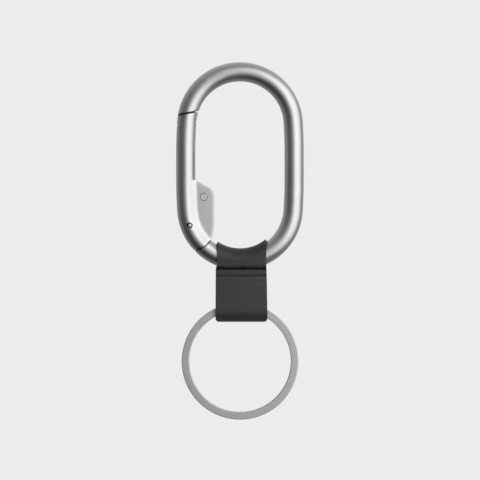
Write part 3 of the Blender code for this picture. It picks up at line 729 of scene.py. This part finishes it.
def strap_path(x):
    """The band's middle line in (y, z) at x, from the flap's top edge to the tail's end."""
    wave = 0.00007 * math.sin(x * 900 + 0.6) + 0.00004 * math.sin(x * 2100)
    path = []
    for i in range(19):
        down = (BEAD_END_Z - FLAP_TOP_Z) * i / 15
        path.append((-MID_R, FLAP_TOP_Z + wave * (1 - i / 18) + down))
    last = path[-1][1]
    for i in range(1, 21):
        path.append((-MID_R, last + (FOLD_Z - last) * i / 20))
    for i in range(1, 25):
        turn = math.pi * (1 + i / 24)
        path.append((MID_R * math.cos(turn), FOLD_Z + MID_R * math.sin(turn)))
    for i in range(1, 21):
        path.append((MID_R, FOLD_Z + (BACK_TOP_Z - FOLD_Z) * i / 20))
    outer = math.sqrt((END_R + BAR_R)**2 - x * x)
    inner = math.sqrt((END_R - BAR_R)**2 - x * x)
    rise = END_R - (outer + inner) / 2
    tall = (outer - inner) / 2 + (LOOP_SNUG - BAR_R)
    middle = LOWER_BAR_Z + rise
    beside = (LOOP_SNUG, middle)
    path += bezier([path[-1], (MID_R, BACK_TOP_Z + 0.0012),
                    (LOOP_SNUG, middle - 0.0014), beside], 14)
    for i in range(1, 37):
        turn = math.pi * i / 36
        path.append((LOOP_SNUG * math.cos(turn), middle + tall * math.sin(turn)))
    hang = (-LOOP_SNUG + HANG_LEAN, HANG_END_Z + wave)
    for i in range(1, 11):
        path.append((-LOOP_SNUG + HANG_LEAN * i / 10, middle + (hang[1] - middle) * i / 10))
    tuck = (TAIL_Y, FLAP_TOP_Z - 0.0010)
    path += bezier([hang, (hang[0] + 0.00010, hang[1] - 0.00080),
                    (TAIL_Y, FLAP_TOP_Z + 0.0006), tuck], 16)
    for i in range(1, 13):
        path.append((TAIL_Y, tuck[1] + (TAIL_END_Z - tuck[1]) * i / 12))
    return path


rows = len(strap_path(0.0))
bpy.ops.object.select_all(action="DESELECT")
bpy.ops.mesh.primitive_grid_add(
    x_subdivisions=STRAP_COLUMNS - 1, y_subdivisions=rows - 1, size=0.01)
strap = added("leather_strap")
for vertex in strap.data.vertices:
    column, row = vertex.index % STRAP_COLUMNS, vertex.index // STRAP_COLUMNS
    across = 2 * column / (STRAP_COLUMNS - 1) - 1
    y, z = strap_path(STRAP_MIDDLE + STRAP_HALF * across)[row]
    loop = min(max((z - FLAP_TOP_Z) / 0.0010, 0.0), 1.0)
    taper = min(max((FLAP_TOP_Z - z) / (FLAP_TOP_Z - FOLD_Z), 0.0), 1.0)
    half = STRAP_HALF + PANEL_SPREAD - PANEL_TAPER * (1 - taper) - LOOP_PINCH * loop
    centre = STRAP_MIDDLE - PANEL_LEAN - TAPER_LEAN * (1 - taper) + LOOP_LEAN * loop
    if abs(y + MID_R) < LEATHER / 4 and z > FOLD_Z:
        y += STRAP_CROWN * across * across * taper * (1 - taper) * 4
    under = max(0.0, FOLD_Z - FOLD_R + CORNER_R - z + LEATHER / 2 * max(0.0, (FOLD_Z - z) / MID_R))
    inset = CORNER_R - math.sqrt(max(0.0, CORNER_R**2 - min(under, CORNER_R)**2))
    vertex.co = (centre + (half - inset) * across, y, z)
apply(strap, "SOLIDIFY", thickness=LEATHER, offset=0, use_even_offset=True,
      use_rim=True, material_offset_rim=1)

BEAD_MIDDLE_Z = (FLAP_TOP_Z + BEAD_END_Z) / 2
BEAD_HALF = (FLAP_TOP_Z - BEAD_END_Z) / 2
BEAD_SPAN = 1.05              # the bead's half width over BEAD_HALF, out to its pressed line
BEAD_DEEP = 0.00028
FLAP_TURN_IN = 0.00075
FLAP_LIMIT_Z = LOWER_BAR_Z - 0.0019
for vertex in strap.data.vertices:
    x, y, z = vertex.co
    if y > -FOLD_R + LEATHER / 4 or z > FLAP_LIMIT_Z:
        continue
    off = (z - BEAD_MIDDLE_Z) / BEAD_HALF
    if abs(off) <= BEAD_SPAN:
        crown = math.sqrt(max(0.0, BEAD_SPAN**2 - off * off))
        vertex.co.y = y + (FLAP_TURN_IN * max(0.0, off)**1.5 + BEAD_DEEP) * (1 - crown)
    elif off < 0:
        vertex.co.y = y + BEAD_DEEP * math.exp(-((off + BEAD_SPAN) / 0.16)**2)


def leather_grain():
    """A group: fine pebbled grain with its creases, its cells bent a little out of line and
    roughened by finer noise, as one height.
    """
    group = bpy.data.node_groups.new("leather_grain", "ShaderNodeTree")
    face = group.interface
    face.new_socket(name="Pebble Scale", in_out="INPUT", socket_type="NodeSocketFloat")
    face.new_socket(name="Height", in_out="OUTPUT", socket_type="NodeSocketFloat")
    face.new_socket(name="Pebble", in_out="OUTPUT", socket_type="NodeSocketFloat")
    inside = node_at(group, "NodeGroupInput", (-1000, 0))
    outside = node_at(group, "NodeGroupOutput", (500, 0))
    where = node_at(group, "ShaderNodeTexCoord", (-1000, -200))
    bend = node_at(group, "ShaderNodeTexNoise", (-750, -300), Scale=1600.0, Detail=2.0)
    shift = node_at(group, "ShaderNodeVectorMath", (-550, -200), operation="SCALE")
    shift.inputs["Scale"].default_value = 0.00025
    moved = node_at(group, "ShaderNodeVectorMath", (-350, -100), operation="ADD")
    cells = node_at(group, "ShaderNodeTexVoronoi", (-150, 100), feature="SMOOTH_F1")
    cells.inputs["Smoothness"].default_value = 0.4
    fine = node_at(group, "ShaderNodeTexNoise", (-150, -200), Scale=7000.0, Detail=3.0)
    some = node_at(group, "ShaderNodeMath", (100, -200), operation="MULTIPLY")
    some.inputs[1].default_value = 0.35
    height = node_at(group, "ShaderNodeMath", (300, 0), operation="ADD")
    group.links.new(where.outputs["Object"], bend.inputs["Vector"])
    group.links.new(bend.outputs["Color"], shift.inputs[0])
    group.links.new(where.outputs["Object"], moved.inputs[0])
    group.links.new(shift.outputs[0], moved.inputs[1])
    group.links.new(moved.outputs[0], cells.inputs["Vector"])
    group.links.new(inside.outputs["Pebble Scale"], cells.inputs["Scale"])
    group.links.new(where.outputs["Object"], fine.inputs["Vector"])
    group.links.new(fine.outputs["Fac"], some.inputs[0])
    group.links.new(cells.outputs["Distance"], height.inputs[0])
    group.links.new(some.outputs[0], height.inputs[1])
    group.links.new(height.outputs[0], outside.inputs["Height"])
    group.links.new(cells.outputs["Distance"], outside.inputs["Pebble"])
    return group


LEATHER_GRAIN = leather_grain()


def leather(name, colour, roughness, pebble_depth, pebble_scale=2600.0):
    """Dyed leather: pebbled grain, a little lighter on the crowns, dull in the creases."""
    mat = bpy.data.materials.new(name)
    mat.use_nodes = True
    tree = mat.node_tree
    shader = tree.nodes["Principled BSDF"]
    shader.inputs["Specular IOR Level"].default_value = 0.5
    grain = node_at(tree, "ShaderNodeGroup", (-900, 0))
    grain.node_tree = LEATHER_GRAIN
    grain.inputs["Pebble Scale"].default_value = pebble_scale
    wear = node_at(tree, "ShaderNodeGroup", (-900, -300))
    wear.node_tree = WORN_EDGES
    wear.inputs["Start"].default_value = 0.51
    wear.inputs["End"].default_value = 0.60
    wear.inputs["Break Scale"].default_value = 700.0
    tint = node_at(tree, "ShaderNodeMix", (-500, 250), data_type="RGBA")
    tint.inputs["A"].default_value = (*[part * 1.15 for part in colour], 1)
    tint.inputs["B"].default_value = (*[part * 0.75 for part in colour], 1)
    rubbed = node_at(tree, "ShaderNodeMix", (-250, 250), data_type="RGBA")
    rubbed.inputs["B"].default_value = (*[part * 2.2 for part in colour], 1)
    dull = node_at(tree, "ShaderNodeMapRange", (-500, 0))
    dull.inputs["To Min"].default_value = roughness - 0.05
    dull.inputs["To Max"].default_value = roughness + 0.10
    bump = node_at(tree, "ShaderNodeBump", (-300, -250))
    bump.inputs["Strength"].default_value = 1.0
    bump.inputs["Distance"].default_value = pebble_depth
    tree.links.new(grain.outputs["Pebble"], tint.inputs["Factor"])
    tree.links.new(grain.outputs["Pebble"], dull.inputs["Value"])
    tree.links.new(tint.outputs["Result"], rubbed.inputs["A"])
    tree.links.new(wear.outputs["Edge"], rubbed.inputs["Factor"])
    tree.links.new(rubbed.outputs["Result"], shader.inputs["Base Color"])
    tree.links.new(dull.outputs["Result"], shader.inputs["Roughness"])
    tree.links.new(grain.outputs["Height"], bump.inputs["Height"])
    tree.links.new(bump.outputs["Normal"], shader.inputs["Normal"])
    return mat


strap.data.materials.clear()
strap.data.materials.append(leather("black_leather", (0.030, 0.030, 0.0303), 0.46, 0.000022))
strap.data.materials.append(leather("edge_paint", (0.022, 0.022, 0.023), 0.42, 0.00002))
apply(strap, "BEVEL", width=EDGE_ROUND, segments=3, limit_method="ANGLE",
      angle_limit=math.radians(55))
edit(strap)
close_edit()
smooth(strap, 60)
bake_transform(strap)
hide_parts("strap_outer")


# The filling: a leather lining behind the flap and a pressed fibre core, glued between the
# layers. Only their edges show at the strap's sides.

CORE_BOARD = leather("fibre_board", (0.024, 0.021, 0.019), 0.75, 0.00004, 5200.0)
coat("flap_lining", CORE_BOARD)
coat("strap_core", CORE_BOARD)


# The post and screw: a blind post under the flap, and a low slotted screw whose turned head
# draws the back of the strap onto it.

coat("strap_post", PIN_STEEL)
SCREW_LOW, SCREW_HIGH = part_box("strap_screw")
SCREW_AT = ((SCREW_LOW[0] + SCREW_HIGH[0]) / 2, (SCREW_LOW[2] + SCREW_HIGH[2]) / 2)
HEAD_R = (SCREW_HIGH[0] - SCREW_LOW[0]) / 2
HEAD_BACK = SCREW_HIGH[1]
HEAD_FRONT = FOLD_R + 0.00005
HEAD_EDGE_BREAK = 0.00012
STEM_R = 0.0007
STEM_IN_HEAD = 0.0002
DRIVE_WIDE, DRIVE_DEEP = 0.0006, 0.00025
screw = drill(SCREW_AT, HEAD_R, HEAD_FRONT, HEAD_BACK)
screw.name = "strap_screw_head"
screw.data.name = "strap_screw_head"
machine(screw, "UNION", drill(SCREW_AT, STEM_R, SCREW_LOW[1], HEAD_FRONT + STEM_IN_HEAD, 48))
bpy.ops.object.select_all(action="DESELECT")
bpy.ops.mesh.primitive_cube_add(
    size=1, location=(SCREW_AT[0], HEAD_BACK, SCREW_AT[1]),
    scale=(3 * HEAD_R, 2 * DRIVE_DEEP, DRIVE_WIDE))
machine(screw, "DIFFERENCE", added("slot_cut"))
break_edges(screw, width=HEAD_EDGE_BREAK)
fit(screw, PIN_STEEL, "strap", "pin_steel", "strap_screw")


# The key ring: a split ring of rolled flat wire, two coils side by side that change places
# inside the strap's fold. It is tumbled smooth and brushed round its faces.

RING_LOW, RING_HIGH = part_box("key_ring")
RING_R = (RING_HIGH[0] - RING_LOW[0]) / 2
RING_Z = RING_LOW[2] + RING_R
WIRE_WIDE, WIRE_THICK, WIRE_CORNER = 0.0019, 0.0010, 0.00016
COIL_OFFSET = RING_HIGH[1] - WIRE_THICK / 2
CROSSING = math.radians(12)
RING_GAP = CROSSING + math.radians(2)
RING_TURN = 4 * math.pi - 2 * RING_GAP
RING_STEPS = 360

bpy.ops.object.select_all(action="DESELECT")
bpy.ops.mesh.primitive_plane_add(size=1)
bpy.context.object.scale = (WIRE_WIDE, WIRE_THICK, 1)
ring = added("split_ring")
edit(ring)
bpy.ops.mesh.bevel(offset=WIRE_CORNER, segments=4, affect="VERTICES")
bpy.ops.mesh.delete(type="ONLY_FACE")
bpy.ops.object.mode_set(mode="OBJECT")
wire_sides = len(ring.data.vertices)
middle_r = RING_R - WIRE_WIDE / 2
ring.rotation_euler = (0, RING_GAP - math.pi / 2, 0)
ring.location = (middle_r * math.sin(RING_GAP), 0, RING_Z + middle_r * math.cos(RING_GAP))
bpy.ops.object.transform_apply(location=True, rotation=True, scale=True)
edit(ring)
bpy.ops.mesh.spin(steps=RING_STEPS, angle=RING_TURN, center=(0, 0, RING_Z), axis=(0, -1, 0))
bpy.ops.object.mode_set(mode="OBJECT")
for vertex in ring.data.vertices:
    turn = RING_GAP + RING_TURN * (vertex.index // wire_sides) / RING_STEPS
    share = min(max((turn - 2 * math.pi + CROSSING) / (2 * CROSSING), 0.0), 1.0)
    vertex.co.y += COIL_OFFSET * (2 * share * share * (3 - 2 * share) - 1)
edit(ring)
bpy.ops.mesh.fill_holes(sides=0)
close_edit()
smooth(ring)


def brushed_ring(name, colour, roughness):
    """Rolled steel brushed round the ring: fine arcs on its faces."""
    mat = bpy.data.materials.new(name)
    mat.use_nodes = True
    tree = mat.node_tree
    shader = tree.nodes["Principled BSDF"]
    shader.inputs["Metallic"].default_value = 1.0
    where = node_at(tree, "ShaderNodeTexCoord", (-1500, 0))
    centre = node_at(tree, "ShaderNodeMapping", (-1300, 0))
    centre.inputs["Location"].default_value = (0, 0, -RING_Z)
    parts = node_at(tree, "ShaderNodeSeparateXYZ", (-1100, 0))
    turn = node_at(tree, "ShaderNodeMath", (-900, 100), operation="ARCTAN2")
    across = node_at(tree, "ShaderNodeMath", (-1100, -200), operation="MULTIPLY")
    up = node_at(tree, "ShaderNodeMath", (-1100, -400), operation="MULTIPLY")
    square = node_at(tree, "ShaderNodeMath", (-900, -300), operation="ADD")
    radius = node_at(tree, "ShaderNodeMath", (-750, -300), operation="SQRT")
    fine = node_at(tree, "ShaderNodeMath", (-600, -300), operation="MULTIPLY")
    fine.inputs[1].default_value = 9000.0
    slow = node_at(tree, "ShaderNodeMath", (-600, 100), operation="MULTIPLY")
    slow.inputs[1].default_value = 9.0
    deep = node_at(tree, "ShaderNodeMath", (-600, -100), operation="MULTIPLY")
    deep.inputs[1].default_value = 9000.0
    polar = node_at(tree, "ShaderNodeCombineXYZ", (-400, 0))
    lines = node_at(tree, "ShaderNodeTexNoise", (-200, 0), Scale=1.0, Detail=3.0)
    dull = node_at(tree, "ShaderNodeMapRange", (0, 0))
    dull.inputs["To Min"].default_value = roughness - 0.06
    dull.inputs["To Max"].default_value = roughness + 0.06
    tint = node_at(tree, "ShaderNodeMix", (0, 250), data_type="RGBA")
    tint.inputs["A"].default_value = (*[part * 0.90 for part in colour], 1)
    tint.inputs["B"].default_value = (*[part * 1.08 for part in colour], 1)
    bump = node_at(tree, "ShaderNodeBump", (0, -300))
    bump.inputs["Strength"].default_value = 0.6
    bump.inputs["Distance"].default_value = 0.000004
    tree.links.new(where.outputs["Object"], centre.inputs["Vector"])
    tree.links.new(centre.outputs["Vector"], parts.inputs[0])
    tree.links.new(parts.outputs["X"], turn.inputs[0])
    tree.links.new(parts.outputs["Z"], turn.inputs[1])
    for socket in (0, 1):
        tree.links.new(parts.outputs["X"], across.inputs[socket])
        tree.links.new(parts.outputs["Z"], up.inputs[socket])
    tree.links.new(across.outputs[0], square.inputs[0])
    tree.links.new(up.outputs[0], square.inputs[1])
    tree.links.new(square.outputs[0], radius.inputs[0])
    tree.links.new(radius.outputs[0], fine.inputs[0])
    tree.links.new(turn.outputs[0], slow.inputs[0])
    tree.links.new(parts.outputs["Y"], deep.inputs[0])
    tree.links.new(fine.outputs[0], polar.inputs["X"])
    tree.links.new(slow.outputs[0], polar.inputs["Y"])
    tree.links.new(deep.outputs[0], polar.inputs["Z"])
    tree.links.new(polar.outputs[0], lines.inputs["Vector"])
    tree.links.new(lines.outputs["Fac"], dull.inputs["Value"])
    tree.links.new(lines.outputs["Fac"], tint.inputs["Factor"])
    tree.links.new(lines.outputs["Fac"], bump.inputs["Height"])
    tree.links.new(dull.outputs["Result"], shader.inputs["Roughness"])
    tree.links.new(tint.outputs["Result"], shader.inputs["Base Color"])
    tree.links.new(bump.outputs["Normal"], shader.inputs["Normal"])
    return mat


fit(ring, brushed_ring("brushed_ring_steel", (0.51, 0.51, 0.513), 0.40), "ring", "ring_steel",
    "key_ring")


# The setting: a pale round floor well under the hanging clip, plain pale surroundings, one
# large soft light from the right and front, a weak one in front and one behind.

FLOOR_Z = -0.130
FLOOR_R = 0.25
bpy.ops.object.select_all(action="DESELECT")
bpy.ops.mesh.primitive_circle_add(
    vertices=128, radius=FLOOR_R, fill_type="NGON", location=(0, 0, FLOOR_Z))
floor = added("floor")
floor.visible_glossy = False
floor.visible_shadow = False
floor_mat = bpy.data.materials.new("pale_floor")
floor_mat.use_nodes = True
floor_tree = floor_mat.node_tree
floor_shader = floor_tree.nodes["Principled BSDF"]
floor_shader.inputs["Base Color"].default_value = (0.80, 0.80, 0.80, 1)
floor_shader.inputs["Roughness"].default_value = 0.9
floor_where = node_at(floor_tree, "ShaderNodeTexCoord", (-900, -200))
floor_size = node_at(floor_tree, "ShaderNodeMapping", (-700, -200))
floor_size.inputs["Scale"].default_value = (1 / FLOOR_R, 1 / FLOOR_R, 0)
floor_fade = node_at(floor_tree, "ShaderNodeTexGradient", (-500, -200), gradient_type="SPHERICAL")
floor_span = node_at(floor_tree, "ShaderNodeMapRange", (-300, -200))
floor_span.inputs["From Max"].default_value = 0.6
floor_tree.links.new(floor_where.outputs["Object"], floor_size.inputs["Vector"])
floor_tree.links.new(floor_size.outputs["Vector"], floor_fade.inputs["Vector"])
floor_tree.links.new(floor_fade.outputs["Fac"], floor_span.inputs["Value"])
floor_tree.links.new(floor_span.outputs["Result"], floor_shader.inputs["Alpha"])
floor.data.materials.append(floor_mat)

VIEW_MIDDLE_Z = -0.0410
VIEW_DISTANCE = 0.6894
world = bpy.data.worlds.new("studio")
bpy.context.scene.world = world
world.use_nodes = True
sky = world.node_tree
backdrop = sky.nodes["Background"]
backdrop.inputs["Color"].default_value = (0.84, 0.84, 0.84, 1)
backdrop.inputs["Strength"].default_value = 1.0
way = node_at(sky, "ShaderNodeTexCoord", (-1200, 0))
split = node_at(sky, "ShaderNodeSeparateXYZ", (-1000, 0))
height = node_at(sky, "ShaderNodeValToRGB", (-700, 200))
height.color_ramp.elements[0].position = 0.20
height.color_ramp.elements[0].color = (0.0, 0.0, 0.0, 1)
height.color_ramp.elements[1].position = 0.95
height.color_ramp.elements[1].color = (0.40, 0.40, 0.40, 1)
horizon = height.color_ramp.elements.new(0.50)
horizon.color = (0.085, 0.085, 0.085, 1)
level = node_at(sky, "ShaderNodeMapRange", (-850, 200))
level.inputs["From Min"].default_value = -1.0
behind = node_at(sky, "ShaderNodeMapRange", (-850, -200))
behind.inputs["From Min"].default_value = -0.3
behind.inputs["From Max"].default_value = 0.5
behind.inputs["To Max"].default_value = 0.40
total = node_at(sky, "ShaderNodeMath", (-500, 0), operation="ADD")
around = node_at(sky, "ShaderNodeBackground", (-300, -150))
seen = node_at(sky, "ShaderNodeLightPath", (-300, 300))
choice = node_at(sky, "ShaderNodeMixShader", (0, 0))
sky.links.new(way.outputs["Generated"], split.inputs[0])
sky.links.new(split.outputs["Z"], level.inputs["Value"])
sky.links.new(level.outputs["Result"], height.inputs["Fac"])
sky.links.new(split.outputs["Y"], behind.inputs["Value"])
sky.links.new(height.outputs["Color"], total.inputs[0])
sky.links.new(behind.outputs["Result"], total.inputs[1])
sky.links.new(total.outputs[0], around.inputs["Strength"])
sky.links.new(seen.outputs["Is Camera Ray"], choice.inputs["Fac"])
sky.links.new(around.outputs[0], choice.inputs[1])
sky.links.new(backdrop.outputs[0], choice.inputs[2])
sky.links.new(choice.outputs[0], sky.nodes["World Output"].inputs["Surface"])


def soft_light(name, azimuth, height, distance, width, tall, power):
    """A rectangular soft light that looks at the middle of the clip."""
    turn, rise = math.radians(azimuth), math.radians(height)
    data = bpy.data.lights.new(name, "AREA")
    data.shape = "RECTANGLE"
    data.size = width
    data.size_y = tall
    data.energy = power
    light = bpy.data.objects.new(name, data)
    light.location = (
        distance * math.cos(rise) * math.sin(turn),
        -distance * math.cos(rise) * math.cos(turn),
        VIEW_MIDDLE_Z + distance * math.sin(rise))
    light.rotation_euler = (math.pi / 2 - rise, 0, turn)
    light.visible_camera = False
    bpy.context.scene.collection.objects.link(light)


soft_light("key_light", 46, 6, 0.55, 0.78, 0.95, 3.5)
soft_light("front_fill", 8, 14, 0.60, 0.45, 0.70, 0.55)
soft_light("rear_light", 165, 20, 0.60, 0.50, 0.50, 0.5)

camera_data = bpy.data.cameras.new("camera")
camera_data.lens = 200
camera_data.sensor_width = 36
camera_data.clip_end = 10
camera = bpy.data.objects.new("camera", camera_data)
camera.location = (0, -VIEW_DISTANCE, VIEW_MIDDLE_Z)
camera.rotation_euler = (math.pi / 2, 0, 0)
bpy.context.scene.collection.objects.link(camera)
bpy.context.scene.camera = camera
bpy.context.scene.view_settings.view_transform = "Standard"
